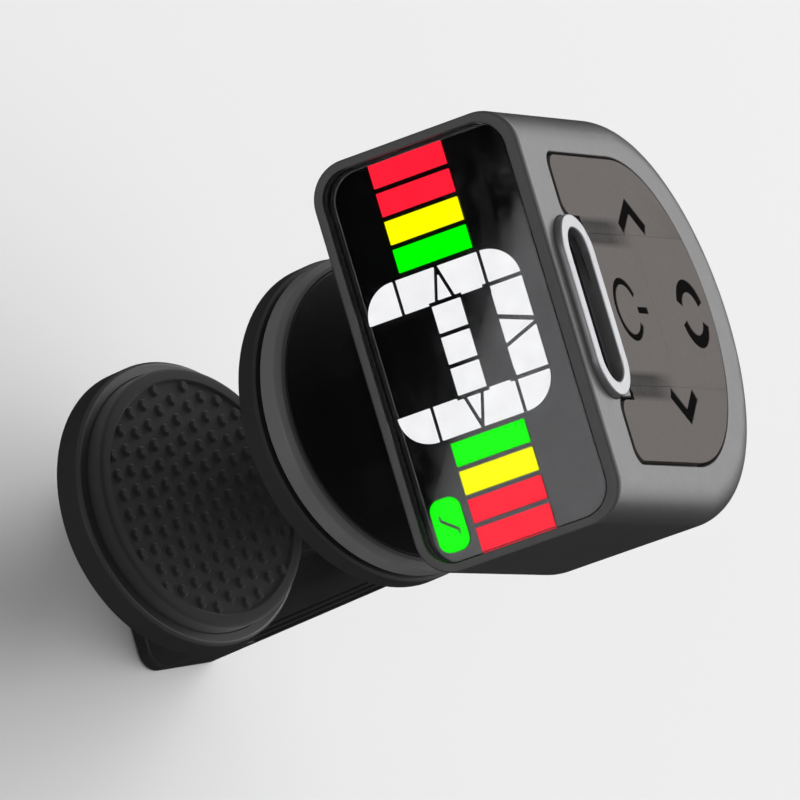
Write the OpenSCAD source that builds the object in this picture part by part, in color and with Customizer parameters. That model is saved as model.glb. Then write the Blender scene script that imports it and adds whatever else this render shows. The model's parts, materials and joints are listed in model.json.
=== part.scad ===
// Clip-on tuner: a D-shaped display head on a tilt hinge and a swivel disc, over a sprung clamp.
// Origin: centre of the front pad's lower face, on the swivel axis. +Z points out of the surface that
// the pad presses on, -Y is the side of the display. Units are millimetres.

/* [Head] */
// Width of the head, side to side
head_w = 25.2; // [23:0.1:30]
// Length of the head's straight part, from the display back to where it turns round
head_straight = 15.2; // [14:0.1:17]
// Height of the head, underside to top face
head_h = 13.4; // [12.6:0.1:16]
// Radius of the head's long edges
head_edge_r = 2.4; // [1.8:0.1:2.8]
// Wall of the head's casing
head_wall = 1.2; // [1:0.05:1.3]
// Backward lean of the head at rest, in degrees
head_lean = 22; // [0:1:26]

/* [Display] */
// Width of the rim around the display window
bezel_w = 0.55; // [0.4:0.05:0.7]
// Height of the rim above the display window
bezel_top = 0.85; // [0.6:0.05:1]
// Thickness of the display window
window_t = 0.8; // [0.6:0.05:0.85]
// Thickness of the lit segments
segment_t = 0.2; // [0.15:0.01:0.22]
// Width of the letter
letter_w = 9.8; // [8.5:0.1:10.5]
// Height of the letter
letter_h = 9.9; // [8.5:0.1:10.2]
// Width of the letter's strokes
letter_stroke = 2.05; // [1.6:0.05:2.2]
// Height of the level bars
bar_h = 4.75; // [4:0.05:5.5]
// Width of one level bar
bar_w = 1.4; // [1.2:0.05:1.45]
// Spacing of the level bars
bar_pitch = 1.72; // [1.65:0.01:1.75]

/* [Keypad] */
// Margin between the keypad and the casing's side
pad_margin = 3.2; // [3:0.1:3.8]
// Distance from the display side back to the keypad
pad_front = 3.8; // [3.2:0.1:5]
// Distance from the display side to where the keypad turns round
pad_straight = 13.6; // [13:0.1:14]
// Width of the keypad's middle column
middle_w = 9.4; // [9:0.1:10.5]
// Gap between neighbouring keys
key_gap = 0.08; // [0.06:0.01:0.2]
// Gap between the keypad and the casing's opening
pad_gap = 0.2; // [0.1:0.01:0.3]
// Travel of each key
key_travel = 0.4; // [0.2:0.05:0.5]

/* [Charging port] */
// Width of the socket's metal shell
usb_w = 8.94; // [8.9:0.01:9]
// Thickness of the socket's metal shell
usb_t = 3.2; // [3.1:0.01:3.3]
// Width of the trim ring's rim
trim_rim = 0.85; // [0.6:0.05:1]
// Height that the port's trim ring stands above the top face
trim_proud = 0.5; // [0.3:0.05:0.8]

/* [Swivel and tilt] */
// Radius of the lower tier of the disc, the front jaw
disc_r = 10.1; // [9.5:0.1:12]
// Thickness of each tier of the disc
tier_t = 1.65; // [1.6:0.05:2.2]
// Height of the hinge axis above the upper tier
hinge_rise = 2.3; // [2.25:0.05:3]
// Radius of the hinge pin
pin_r = 0.9; // [0.7:0.05:1]
// Radial clearance of every turning or sliding fit
run_gap = 0.05; // [0.03:0.01:0.08]

/* [Clamp] */
// Gap between the pads with the clamp closed
jaw_gap = 13; // [10:0.5:16]
// Travel of the rear jaw as it opens
jaw_travel = 8.5; // [6:0.5:10]
// Distance from the swivel axis back to the clamp's post
throat = 11.4; // [10.8:0.1:14]
// Width of the clamp's post
post_w = 13; // [13:0.1:16]
// Depth of the clamp's post, front to back
post_d = 7; // [6.9:0.1:9]
// Radius of the pads
pad_r = 8.6; // [8:0.1:9]
// Thickness of each pad that shows
pad_t = 1.2; // [0.9:0.1:1.8]

/* [Hidden] */
$fn = 96;

eps = 0.01;                     // reach of a cut past the face that it opens
seat = 0.02;                    // clearance of pieces that are seated and don't move
slack = 0.1;                    // clearance of covers and of the rear jaw in its guide

// Head, in its own frame: y from the display side back, z from the underside up
head_r = head_w / 2;
cavity_r = head_r - head_wall;
floor_t = 1.3;
cover_t = 0.75;                 // thickness of the base plate
cover_r = head_r - head_edge_r - slack;
hatch_r = 7.4;                  // the casing's own opening behind the base plate
cavity_top = head_h - head_wall;
window_w = head_w - 2 * bezel_w - 2 * seat;
window_h = head_h - bezel_w - bezel_top - 2 * seat;
window_r = head_edge_r - bezel_w;
window_z = bezel_w + seat + window_h / 2;
segment_y = window_t + seat;    // front of the lit segments
mask_y = segment_y + segment_t;
mask_t = head_wall - mask_y;
panel_t = 0.4;
panel_back = head_wall + seat + panel_t;
letter_bottom = 0.95;
letter_corner = 2;
letter_side = letter_w / 2;
letter_inner = letter_side - letter_stroke;
letter_top = letter_bottom + letter_h;
cross_z = letter_bottom + letter_h / 2;  // middle of the letter's crossbar
cross_t = 1.8;
hair = 0.28;                    // dark line between two segments
bar_side = letter_side + 0.35;  // inner end of the rows of level bars
bar_z = window_z - 0.5;
mark_at = [letter_side + 4.8, 2.15];
mark_size = [3.2, 1.9];
mark_line = 0.2;

// Keypad
pad_side = head_r - pad_margin;
key_top = head_h + 0.05;
flange = 0.5;
flange_top = cavity_top - slack;
flange_t = 0.5;
side_key_x = pad_side - 2.5;
stem_r = 1;
switch_y = [pad_straight - 1.1, pad_straight - 1.1, pad_straight - 3.8, pad_straight + 5.4];
switch_x = [-side_key_x, side_key_x, 0, 0];
middle_half = (middle_w - key_gap) / 2;
middle_split = pad_straight + 0.2;  // where the power key meets the mode key
pad_corner = 1;                 // rounding of the keypad's front corners

// Inside the head
plate_front = 2.4;              // distance from the display side to the base plate
hatch_front = 4.4;              // and to the hatch behind it
board_z = 5.1;
board_t = 1;
board_top = board_z + board_t;
switch_size = 3.2;
switch_h = 1.2;
plunger_h = 0.25;
plunger_gap = key_travel + 0.1;
stem_bottom = board_top + switch_h + plunger_h + plunger_gap;
column_r = 1.3;
column_ring = head_r - 3.8;     // distance of the casing's columns from the head's axis
column_turn = 50;
screw_r = 0.5;
screw_head_r = 0.9;
screw_head_t = 0.45;
columns = [
  [-column_ring, 6], [column_ring, 6],
  [-column_ring * sin(column_turn), head_straight + column_ring * cos(column_turn)],
  [column_ring * sin(column_turn), head_straight + column_ring * cos(column_turn)]
];
battery_size = [14.4, 13.2, 3];
battery_at = [0, 10.6, floor_t + 0.6];
piezo_r = 5;
piezo_y = 10.5;

// Charging port
port_y = panel_back + 0.08 + usb_t / 2;  // the socket stands close behind the display panel
trim_hole = [usb_w + 0.5, usb_t - 0.2];  // hole of the trim ring, over the shell's edge
trim_w = trim_hole[0] + 2 * trim_rim;
trim_d = trim_hole[1] + 2 * trim_rim;
trim_seat = 0.55;               // depth of the trim ring's seat in the top face
usb_wall = 0.3;
usb_top = cavity_top + 0.45;
usb_r = 1.5;                    // rounding of the metal shell
socket_floor = 0.4;             // closed bottom of the metal shell
tongue = [usb_w - 2.24, 0.7];
tongue_low = 0.8;               // depth of the tongue's end below the shell's mouth

// Disc tiers and hinge
disc_z = pad_t;
tier_gap = 0.2;
turn_z = disc_z + tier_t + tier_gap;
turn_top = turn_z + tier_t;
turn_r = disc_r - 0.2;
face_r = turn_r - 0.7;
face_t = 0.4;
rim_chamfer = 0.35;
hinge_z = turn_top + hinge_rise;
knuckle_r = pin_r + 1;
knuckle_half = 3;
ear_in = 3.4;
ear_out = 5.2;
ear_r = knuckle_r;
head_rise = knuckle_r + 0.75;   // hinge axis to the head's underside
head_front = 15.8;              // hinge axis to the display side
post_r = 1.5;                   // swivel post
post_flange_t = 0.4;
well_r = 3;                     // well in the upper tier for the swivel's washer and screw
well_floor = 0.6;
post_top = turn_z + well_floor + 0.3;

// Clamp
pad_seat = 0.5;
arm_top = disc_z + tier_t;
post_y = throat + post_d / 2;
post_edge_r = 1.2;
guide_y = post_y + 0.35;
rod_r = 0.9;
spring_r = 1.5;
spring_wire = 0.22;
spring_turns = 10;
carriage_half = 3.6;
carriage_h = 7.8;
lane_front = throat + 1.8;
lane_back = throat + post_d - 1.1;
jaw_z = -jaw_gap - pad_t;       // top face of the rear jaw's disc
jaw_t = 2.4;
jaw_r = 9;
rib_h = 2.8;                    // rib under the rear jaw, which runs in the post's slot
rear_pad_r = pad_r - 0.4;
stop_z = jaw_z + slack;
lane_bottom = jaw_z - carriage_h - jaw_travel - 0.5;
post_bottom = lane_bottom - 1;
lane_top = arm_top - 1.8;
spring_lane_half = spring_r + spring_wire + 0.48;
tongue_half = 2;
cover_half = post_w / 2 - 0.9;
cover_screw_x = cover_half - screw_head_r - 0.15;
cover_top = lane_top + 0.9;
cover_bottom = lane_bottom - 0.4;
cap_t = 1.2;

// ---------- shared shapes ----------

// Rounded rectangle centred on the origin, with true arcs at its corners
module rounded_rect(w, h, r) {
  square([w - 2 * r, h], center = true);
  square([w, h - 2 * r], center = true);
  for (x = [-1, 1], y = [-1, 1])
    translate([x * (w / 2 - r), y * (h / 2 - r)]) circle(r = r);
}

// Upright bar with a rounded plan
module rounded_bar(w, d, r, z0, z1) {
  translate([0, 0, z0]) linear_extrude(z1 - z0) rounded_rect(w, d, r);
}

// Plan of a D: straight from y0 back to the head's turn, then half a circle
module d_plan(r, y0) {
  translate([-r, y0]) square([2 * r, head_straight - y0]);
  half_disc(r, head_straight);
}

// Half a disc behind the line y
module half_disc(r, y) {
  intersection() {
    translate([0, y]) circle(r = r);
    translate([-r - 1, y]) square([2 * r + 2, r + 1]);
  }
}

module d_plate(r, y0, z0, z1) {
  translate([0, 0, z0]) linear_extrude(z1 - z0) d_plan(r, y0);
}

// The head's solid form: a rounded bar that ends in half a turned body
module head_form(inset, y0) {
  w = head_w - 2 * inset;
  h = head_h - 2 * inset;
  r = head_edge_r - inset;
  mid = head_h / 2;
  translate([0, head_straight, mid]) rotate([90, 0, 0])
    linear_extrude(head_straight - y0) rounded_rect(w, h, r);
  translate([0, head_straight, mid]) rotate_extrude(angle = 180)
    intersection() {
      rounded_rect(w, h, r);
      translate([0, -h]) square([w, 2 * h]);
    }
}

// From the head's own frame to the whole tuner's
module in_head() {
  translate([0, 0, hinge_z]) rotate([-head_lean, 0, 0]) translate([0, -head_front, head_rise]) children();
}

// Plate on the display side: y0 to y1 deep, its plan drawn in x and z
module front_plate(y0, y1) {
  translate([0, y1, 0]) rotate([90, 0, 0]) linear_extrude(y1 - y0) children();
}

// Screw along -Z from the head's seat at z = 0, with a cross-shaped drive
module screw(length) {
  difference() {
    union() {
      cylinder(r = screw_head_r, h = screw_head_t);
      translate([0, 0, -length]) cylinder(r = screw_r, h = length);
    }
    for (turn = [0, 90]) rotate(turn)
      translate([0, 0, screw_head_t]) cube([1.1, 0.24, 0.5], center = true);
  }
}

// Tier of the disc with both its outer edges bevelled
module tier(r, z0, z1, low, high) {
  rotate_extrude()
    polygon([[0, z0], [r - low, z0], [r, z0 + low], [r, z1 - high], [r - high, z1], [0, z1]]);
}

// ---------- clamp ----------

module pad(r, z0, z1) {
  bevel = 0.3;
  rotate_extrude()
    polygon([[0, z0], [r - bevel, z0], [r, z0 + bevel], [r, z1], [0, z1]]);
}

module clamp_frame() {
  color([0.06, 0.06, 0.065]) difference() {
    union() {
      tier(disc_r, disc_z, arm_top, 0.3, 0.15);
      translate([-post_w / 2, 0, disc_z]) cube([post_w, throat + 2, tier_t]);
      translate([0, post_y, 0]) rounded_bar(post_w, post_d, post_edge_r, post_bottom, arm_top);
    }
    // seats of the front pad and of the swivel post's flange
    translate([0, 0, disc_z - eps]) cylinder(r = pad_r + seat, h = pad_seat + eps);
    translate([0, 0, disc_z]) cylinder(r = 2 * post_r + seat, h = pad_seat + post_flange_t + seat);
    cylinder(r = post_r + seat, h = arm_top + eps);
    // lane of the spring above, and of the rear jaw's carriage below
    translate([-spring_lane_half, lane_front, stop_z - eps])
      cube([2 * spring_lane_half, post_d, lane_top - stop_z + eps]);
    translate([-carriage_half - slack, lane_front, lane_bottom])
      cube([2 * (carriage_half + slack), post_d, stop_z - lane_bottom]);
    translate([-tongue_half - slack, throat - eps, lane_bottom + 2])
      cube([2 * (tongue_half + slack), post_d / 2, stop_z - lane_bottom - 2]);
    // seat of the post's cover
    translate([-cover_half - slack, lane_back, cover_bottom - slack])
      cube([2 * (cover_half + slack), post_d, cover_top - cover_bottom + 2 * slack]);
    translate([0, guide_y, post_bottom - eps])
      cylinder(r = rod_r + seat, h = arm_top - 0.6 - post_bottom);
    cover_screw_places() translate([0, 0, -2.6]) cylinder(r = screw_r + seat, h = 3);
  }
}

module cover_screw_places() {
  for (x = [-1, 1], z = [cover_top - 1.3, cover_bottom + 1.3])
    translate([x * cover_screw_x, throat + post_d - 0.45, z]) rotate([-90, 0, 0]) children();
}

module post_cover() {
  color([0.07, 0.07, 0.075]) difference() {
    translate([-cover_half, lane_back + seat, cover_bottom])
      cube([2 * cover_half, post_d - (lane_back - throat) - seat, cover_top - cover_bottom]);
    cover_screw_places() {
      cylinder(r = screw_head_r + seat, h = 1);
      translate([0, 0, -2]) cylinder(r = screw_r + seat, h = 3);
    }
  }
}

module cover_screws() {
  color([0.55, 0.55, 0.57]) cover_screw_places() translate([0, 0, seat]) screw(2.2);
}

module end_cap() {
  color([0.05, 0.05, 0.055]) translate([0, post_y, 0])
    rounded_bar(post_w, post_d, post_edge_r, post_bottom - cap_t, post_bottom);
}

module front_pad() {
  color([0.04, 0.04, 0.045]) pad(pad_r, 0, disc_z + pad_seat);
}

module guide_rod() {
  color([0.75, 0.76, 0.78]) translate([0, guide_y, post_bottom])
    cylinder(r = rod_r, h = arm_top - 0.7 - post_bottom);
}

// Coil swept round the guide rod, with six sides to the wire
module jaw_spring() {
  sides = 6;
  per_turn = 14;
  rings = spring_turns * per_turn;
  low = jaw_z + spring_wire + seat;
  high = lane_top - spring_wire - seat;
  function ring_at(i) = let (
    turn = 360 * i / per_turn,
    z = low + (high - low) * i / rings,
    out = [cos(turn), sin(turn)]
  ) [for (k = [0:sides - 1]) let (a = 360 * k / sides, r = spring_r + spring_wire * cos(a))
      [r * out[0], r * out[1], z + spring_wire * sin(a)]];
  points = [for (i = [0:rings]) each ring_at(i)];
  walls = [for (i = [0:rings - 1], k = [0:sides - 1]) let (n = (k + 1) % sides, a = i * sides, b = a + sides)
      each [[a + k, b + k, b + n], [a + k, b + n, a + n]]];
  start = [[for (k = [0:sides - 1]) k]];
  finish = [[for (k = [sides - 1:-1:0]) rings * sides + k]];
  color([0.7, 0.71, 0.73]) translate([0, guide_y, 0])
    polyhedron(points = points, faces = concat(walls, start, finish));
}

module rear_jaw() {
  color([0.06, 0.06, 0.065]) difference() {
    union() {
      tier(jaw_r, jaw_z - jaw_t, jaw_z, 0.5, 0.2);
      translate([-4, 0, jaw_z - jaw_t]) cube([8, throat - 0.4, jaw_t]);
      translate([-tongue_half, jaw_r - 2, jaw_z - jaw_t - rib_h])
        cube([2 * tongue_half, throat - jaw_r + 5, jaw_t + rib_h]);
      translate([-carriage_half, lane_front + slack, jaw_z - carriage_h])
        cube([2 * carriage_half, lane_back - lane_front - 2 * slack, carriage_h]);
    }
    translate([0, 0, jaw_z - pad_seat]) cylinder(r = rear_pad_r + seat, h = pad_seat + eps);
    translate([0, guide_y, jaw_z - carriage_h - 1]) cylinder(r = rod_r + run_gap, h = carriage_h + 2);
  }
}

module rear_pad() {
  color([0.04, 0.04, 0.045]) mirror([0, 0, 1]) translate([0, 0, jaw_gap])
    pad(rear_pad_r, 0, pad_t + pad_seat);
}

// ---------- swivel and tilt ----------

module swivel_post() {
  color([0.7, 0.7, 0.72]) difference() {
    union() {
      translate([0, 0, disc_z + pad_seat]) cylinder(r = 2 * post_r, h = post_flange_t);
      translate([0, 0, disc_z + pad_seat]) cylinder(r = post_r, h = post_top - disc_z - pad_seat);
    }
    translate([0, 0, disc_z + pad_seat + 0.5]) cylinder(r = screw_r + seat, h = 5);
  }
}

module swivel_screw() {
  head_t = 0.3;
  shank_low = disc_z + pad_seat + 0.7;
  color([0.55, 0.55, 0.57]) difference() {
    union() {
      translate([0, 0, post_top]) cylinder(r = 2.4, h = head_t);
      translate([0, 0, shank_low]) cylinder(r = screw_r, h = post_top - shank_low + head_t / 2);
    }
    for (turn = [0, 90]) rotate(turn)
      translate([0, 0, post_top + head_t]) cube([1.6, 0.3, 0.3], center = true);
  }
}

module spring_washer() {
  color([0.72, 0.72, 0.74]) translate([0, 0, turn_z + well_floor + seat]) difference() {
    cylinder(r = 2.7, h = 0.26);
    translate([0, 0, -eps]) cylinder(r = post_r + seat, h = 1);
  }
}

module friction_ring() {
  color([0.85, 0.85, 0.83]) translate([0, 0, arm_top]) difference() {
    cylinder(r = 8.6, h = tier_gap);
    translate([0, 0, -eps]) cylinder(r = 6, h = 1);
  }
}

module ears(grow) {
  for (side = [-1, 1])
    translate([side * (ear_in + ear_out) / 2, 0, 0])
      translate([-(ear_out - ear_in) / 2 - grow, -ear_r - grow, 0])
        cube([ear_out - ear_in + 2 * grow, 2 * (ear_r + grow), hinge_z]);
}

module turntable() {
  color([0.16, 0.16, 0.17]) difference() {
    union() {
      difference() {
        tier(turn_r, turn_z, turn_top, 0.15, rim_chamfer);
        translate([0, 0, turn_top - face_t]) cylinder(r = face_r + seat, h = 1);
      }
      intersection() {
        ears(0);
        translate([0, 0, turn_z]) cylinder(r = turn_r, h = hinge_z);
      }
      for (side = [-1, 1]) translate([side * (ear_in + ear_out) / 2, 0, hinge_z]) rotate([0, 90, 0])
        cylinder(r = ear_r, h = ear_out - ear_in, center = true);
    }
    translate([0, 0, turn_z - eps]) cylinder(r = post_r + run_gap, h = 2);
    translate([0, 0, turn_z + well_floor]) cylinder(r = well_r, h = 2);
    translate([0, 0, hinge_z]) rotate([0, 90, 0])
      cylinder(r = pin_r + seat, h = 2 * ear_out + 1, center = true);
  }
}

module turntable_cover() {
  color([0.02, 0.02, 0.022]) difference() {
    translate([0, 0, turn_top - face_t + seat]) cylinder(r = face_r, h = face_t);
    ears(slack);
  }
}

module hinge_pin() {
  color([0.75, 0.75, 0.77]) translate([0, 0, hinge_z]) rotate([0, 90, 0])
    cylinder(r = pin_r, h = 2 * ear_out - 0.2, center = true);
}

module hinge_washers() {
  color([0.85, 0.85, 0.83]) for (side = [-1, 1])
    translate([side * (knuckle_half + ear_in) / 2, 0, hinge_z]) rotate([0, 90, 0]) difference() {
      cylinder(r = knuckle_r - 0.2, h = ear_in - knuckle_half - 2 * seat, center = true);
      cylinder(r = pin_r + run_gap, h = 2, center = true);
    }
}

// ---------- head casing ----------

module head_shell() {
  color([0.33, 0.33, 0.34]) in_head() difference() {
    union() {
      difference() {
        head_form(0, 0);
        head_form(head_wall, head_wall);
        // seat of the display window
        front_plate(-1, head_wall + eps) translate([0, window_z])
          rounded_rect(window_w + 2 * seat, window_h + 2 * seat, window_r + seat);
        // seat of the base plate, and the hatch behind it
        d_plate(cover_r + slack, plate_front - slack, -1, cover_t + seat);
        d_plate(hatch_r, hatch_front, -1, floor_t + eps);
      }
      for (at = columns) translate([at[0], at[1], cover_t + seat])
        cylinder(r = column_r, h = board_z - cover_t - seat);
    }
    for (at = columns) translate([at[0], at[1], cover_t]) cylinder(r = screw_r + seat, h = board_z);
    // keypad opening
    translate([0, 0, cavity_top - 1]) linear_extrude(4) keypad_plan(pad_gap);
    // charging port
    translate([0, port_y, 0])
      rounded_bar(trim_w + 2 * seat, trim_d + 2 * seat, trim_d / 2, head_h - trim_seat, head_h + 1);
    translate([0, port_y, 0])
      rounded_bar(usb_w + 2 * slack, usb_t + 2 * slack, usb_r + slack, cavity_top - 1, head_h);
  }
}

module base_plate() {
  color([0.10, 0.10, 0.105]) in_head() difference() {
    union() {
      d_plate(cover_r, plate_front, 0, cover_t);
      translate([-knuckle_half, head_front - knuckle_r, -head_rise])
        cube([2 * knuckle_half, 2 * knuckle_r, head_rise + 0.2]);
      translate([0, head_front, -head_rise]) rotate([0, 90, 0])
        cylinder(r = knuckle_r, h = 2 * knuckle_half, center = true);
    }
    translate([0, head_front, -head_rise]) rotate([0, 90, 0])
      cylinder(r = pin_r + run_gap, h = 20, center = true);
    for (at = columns) translate([at[0], at[1], -eps]) {
      cylinder(r = screw_head_r + seat, h = screw_head_t + seat);
      cylinder(r = screw_r + seat, h = 2);
    }
  }
}

module base_screws() {
  color([0.12, 0.12, 0.125]) in_head() for (at = columns)
    translate([at[0], at[1], screw_head_t]) mirror([0, 0, 1]) screw(1.8);
}

// ---------- display ----------

module display_window() {
  color([0.05, 0.05, 0.06, 0.4]) in_head() front_plate(0, window_t)
    translate([0, window_z]) rounded_rect(window_w, window_h, window_r);
}

module display_mask() {
  color([0.02, 0.02, 0.022]) in_head() front_plate(mask_y, mask_y + mask_t)
    translate([0, window_z]) rounded_rect(window_w, window_h, window_r);
}

module display_panel() {
  color([0.05, 0.12, 0.08]) in_head() front_plate(head_wall + seat, panel_back)
    translate([0, head_h / 2]) rounded_rect(2 * cavity_r - 2 * slack, cavity_top - head_wall - 2 * slack, 1);
}

// One level bar: place counts outwards from the letter
module level_bar(side, place) {
  x = bar_side + bar_w / 2 + place * bar_pitch;
  translate([side * x, bar_z]) square([bar_w, bar_h], center = true);
}

module lit(plate_color) {
  color(plate_color) in_head() front_plate(segment_y, mask_y) children();
}

// The letter A with its outer corners rounded
module letter_plan() {
  gap = 2 * letter_inner;
  cross_low = cross_z - cross_t / 2;
  cross_high = cross_z + cross_t / 2;
  difference() {
    translate([0, letter_bottom + letter_h / 2]) rounded_rect(letter_w, letter_h, letter_corner);
    translate([-letter_inner, cross_high]) square([gap, letter_top - letter_stroke - cross_high]);
    translate([-letter_inner, letter_bottom - 1]) square([gap, cross_low - letter_bottom + 1]);
  }
}

// Dark line across a stroke of the letter
module cut_across(length) {
  square([hair, length], center = true);
}

// Dark lines that part the letter into its segments
module letter_cuts() {
  top_z = letter_top - letter_stroke / 2;
  leg_x = (letter_side + letter_inner) / 2;
  across = letter_stroke + 1;
  for (side = [-1, 1]) {
    translate([side * letter_inner, top_z]) cut_across(across);
    for (x = [letter_inner, letter_inner / 3]) translate([side * x, cross_z]) cut_across(cross_t + 0.4);
    for (z = [letter_top - letter_stroke - 0.1, letter_bottom + 2.2])
      translate([side * leg_x, z]) rotate(90) cut_across(across);
    // wedge where the crossbar meets the leg, its point at the leg's outer side
    for (tilt = [-16, 16]) translate([side * letter_side, cross_z]) rotate(90 + side * (90 + tilt))
      translate([0, -hair / 2]) square([letter_stroke * 1.06, hair]);
    // sides of the small peak in the middle of the top bar
    translate([side * 0.5, top_z]) rotate(side * 20) cut_across(letter_stroke * 1.3);
  }
}

module letter_segments() {
  lit([0.95, 0.95, 0.95]) difference() {
    letter_plan();
    letter_cuts();
  }
}

module red_bars() {
  lit([1, 0.12, 0.2]) for (side = [-1, 1], place = [2, 3]) level_bar(side, place);
}

module yellow_bars() {
  lit([1, 1, 0]) for (side = [-1, 1]) level_bar(side, 1);
}

module green_bars() {
  lit([0, 0.95, 0]) for (side = [-1, 1]) level_bar(side, 0);
}

module status_mark() {
  lit([0, 0.9, 0.1]) translate(mark_at) difference() {
    rounded_rect(mark_size[0], mark_size[1], 0.7);
    // slanted dash with a hook at each end
    rotate(-38) square([mark_line, 1.3], center = true);
    for (end = [-1, 1]) translate([end * 0.52, end * 0.48]) square([0.34, mark_line], center = true);
  }
}

// ---------- keypad ----------

// Plan of the whole keypad: a D with a notch for the charging port
module keypad_plan(grow) {
  r = pad_side + grow;
  notch_half = trim_w / 2 + slack;
  lobe_w = pad_side - notch_half + 2 * grow;
  lobe_x = (pad_side + notch_half) / 2;
  back = port_y + trim_d / 2 + 0.4 - grow;
  half_disc(r, pad_straight);
  translate([-r, back + 1]) square([2 * r, pad_straight - back - 1]);
  for (side = [-1, 1]) translate([side * lobe_x, (pad_front + pad_straight) / 2 - grow / 2])
    rounded_rect(lobe_w, pad_straight - pad_front + grow, pad_corner);
  translate([-notch_half - pad_corner, back]) square([2 * (notch_half + pad_corner), pad_straight - back]);
}

// One key: its share of the keypad, a flange under the casing's top and a stem over its switch
module key(i, x0, x1, y0, y1) {
  color([0.30, 0.285, 0.275]) in_head() {
    translate([0, 0, flange_top - flange_t]) linear_extrude(key_top - flange_top + flange_t) intersection() {
      keypad_plan(0);
      translate([x0, y0]) square([x1 - x0, y1 - y0]);
    }
    translate([0, 0, flange_top - flange_t]) linear_extrude(flange_t) intersection() {
      keypad_plan(flange);
      translate([x0, y0]) square([x1 - x0, y1 - y0]);
      translate([-20, port_y + trim_d / 2]) square([40, 40]);
    }
    translate([switch_x[i], switch_y[i], stem_bottom]) cylinder(r = stem_r, h = flange_top - stem_bottom);
  }
}

module key_left() { key(0, -20, -middle_half - key_gap, 0, 40); }
module key_right() { key(1, middle_half + key_gap, 20, 0, 40); }
module key_power() { key(2, -middle_half, middle_half, 0, middle_split - key_gap / 2); }
module key_mode() { key(3, -middle_half, middle_half, middle_split + key_gap / 2, 40); }

module tact_switches() {
  color([0.75, 0.75, 0.75]) in_head() for (i = [0:3]) translate([switch_x[i], switch_y[i], board_top]) {
    translate([0, 0, switch_h / 2]) cube([switch_size, switch_size, switch_h], center = true);
    cylinder(r = 0.8, h = switch_h + plunger_h);
  }
}

// ---------- charging port ----------

module port_trim() {
  color([0.8, 0.8, 0.82]) in_head() translate([0, port_y, 0]) difference() {
    rounded_bar(trim_w, trim_d, trim_d / 2 - seat, head_h - trim_seat + seat, head_h + trim_proud);
    rounded_bar(trim_hole[0], trim_hole[1], trim_hole[1] / 2 - seat, 0, 2 * head_h);
  }
}

module usb_shell() {
  color([0.8, 0.8, 0.82]) in_head() translate([0, port_y, 0]) difference() {
    rounded_bar(usb_w, usb_t, usb_r, board_top, usb_top);
    rounded_bar(usb_w - 2 * usb_wall, usb_t - 2 * usb_wall, usb_r - usb_wall,
                board_top + socket_floor, usb_top + 1);
  }
}

module usb_tongue() {
  color([0.03, 0.03, 0.03]) in_head() translate([0, port_y, 0])
    rounded_bar(tongue[0], tongue[1], 0.2, board_top + socket_floor, usb_top - tongue_low);
}

// ---------- inside the head ----------

module main_board() {
  color([0.05, 0.25, 0.12]) in_head() difference() {
    d_plate(cavity_r - 2 * slack, panel_back + slack, board_z, board_top);
    for (at = columns) translate([at[0], at[1], 0]) cylinder(r = screw_r + seat, h = 10);
  }
}

module board_chips() {
  color([0.04, 0.04, 0.045]) in_head() {
    translate([0, pad_straight + 0.2, board_top + 0.5]) cube([4.5, 4.5, 1], center = true);
    translate([5.8, pad_straight - 7, board_top + 0.4]) cube([3, 3, 0.8], center = true);
    translate([-5.8, pad_straight - 7, board_top + 0.4]) cube([3, 2, 0.8], center = true);
  }
}

module board_screws() {
  color([0.6, 0.6, 0.62]) in_head() for (at = columns) translate([at[0], at[1], board_top]) screw(2);
}

module battery() {
  color([0.72, 0.73, 0.75]) in_head() translate([0, battery_at[1], battery_at[2]])
    rounded_bar(battery_size[0], battery_size[1], 1, 0, board_z - battery_at[2] - slack);
}

module piezo_disc() {
  color([0.80, 0.62, 0.30]) in_head() translate([0, piezo_y, cover_t]) cylinder(r = piezo_r, h = 0.2);
}

module piezo_ceramic() {
  color([0.85, 0.84, 0.80]) in_head() translate([0, piezo_y, cover_t + 0.2])
    cylinder(r = piezo_r - 1.5, h = 0.25);
}

clamp_frame();
front_pad();
guide_rod();
jaw_spring();
post_cover();
cover_screws();
end_cap();
rear_jaw();
rear_pad();
swivel_post();
swivel_screw();
spring_washer();
friction_ring();
turntable();
turntable_cover();
hinge_pin();
hinge_washers();
head_shell();
base_plate();
base_screws();
display_window();
display_mask();
display_panel();
letter_segments();
red_bars();
yellow_bars();
green_bars();
status_mark();
key_left();
key_right();
key_power();
key_mode();
tact_switches();
port_trim();
usb_shell();
usb_tongue();
main_board();
board_chips();
board_screws();
battery();
piezo_disc();
piezo_ceramic();
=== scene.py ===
"""Looks of a clip-on tuner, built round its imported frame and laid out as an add-on."""

import json
import math

import bmesh
import bpy
from bpy.props import FloatProperty, FloatVectorProperty, IntProperty, PointerProperty
from mathutils import Matrix, Vector


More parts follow.
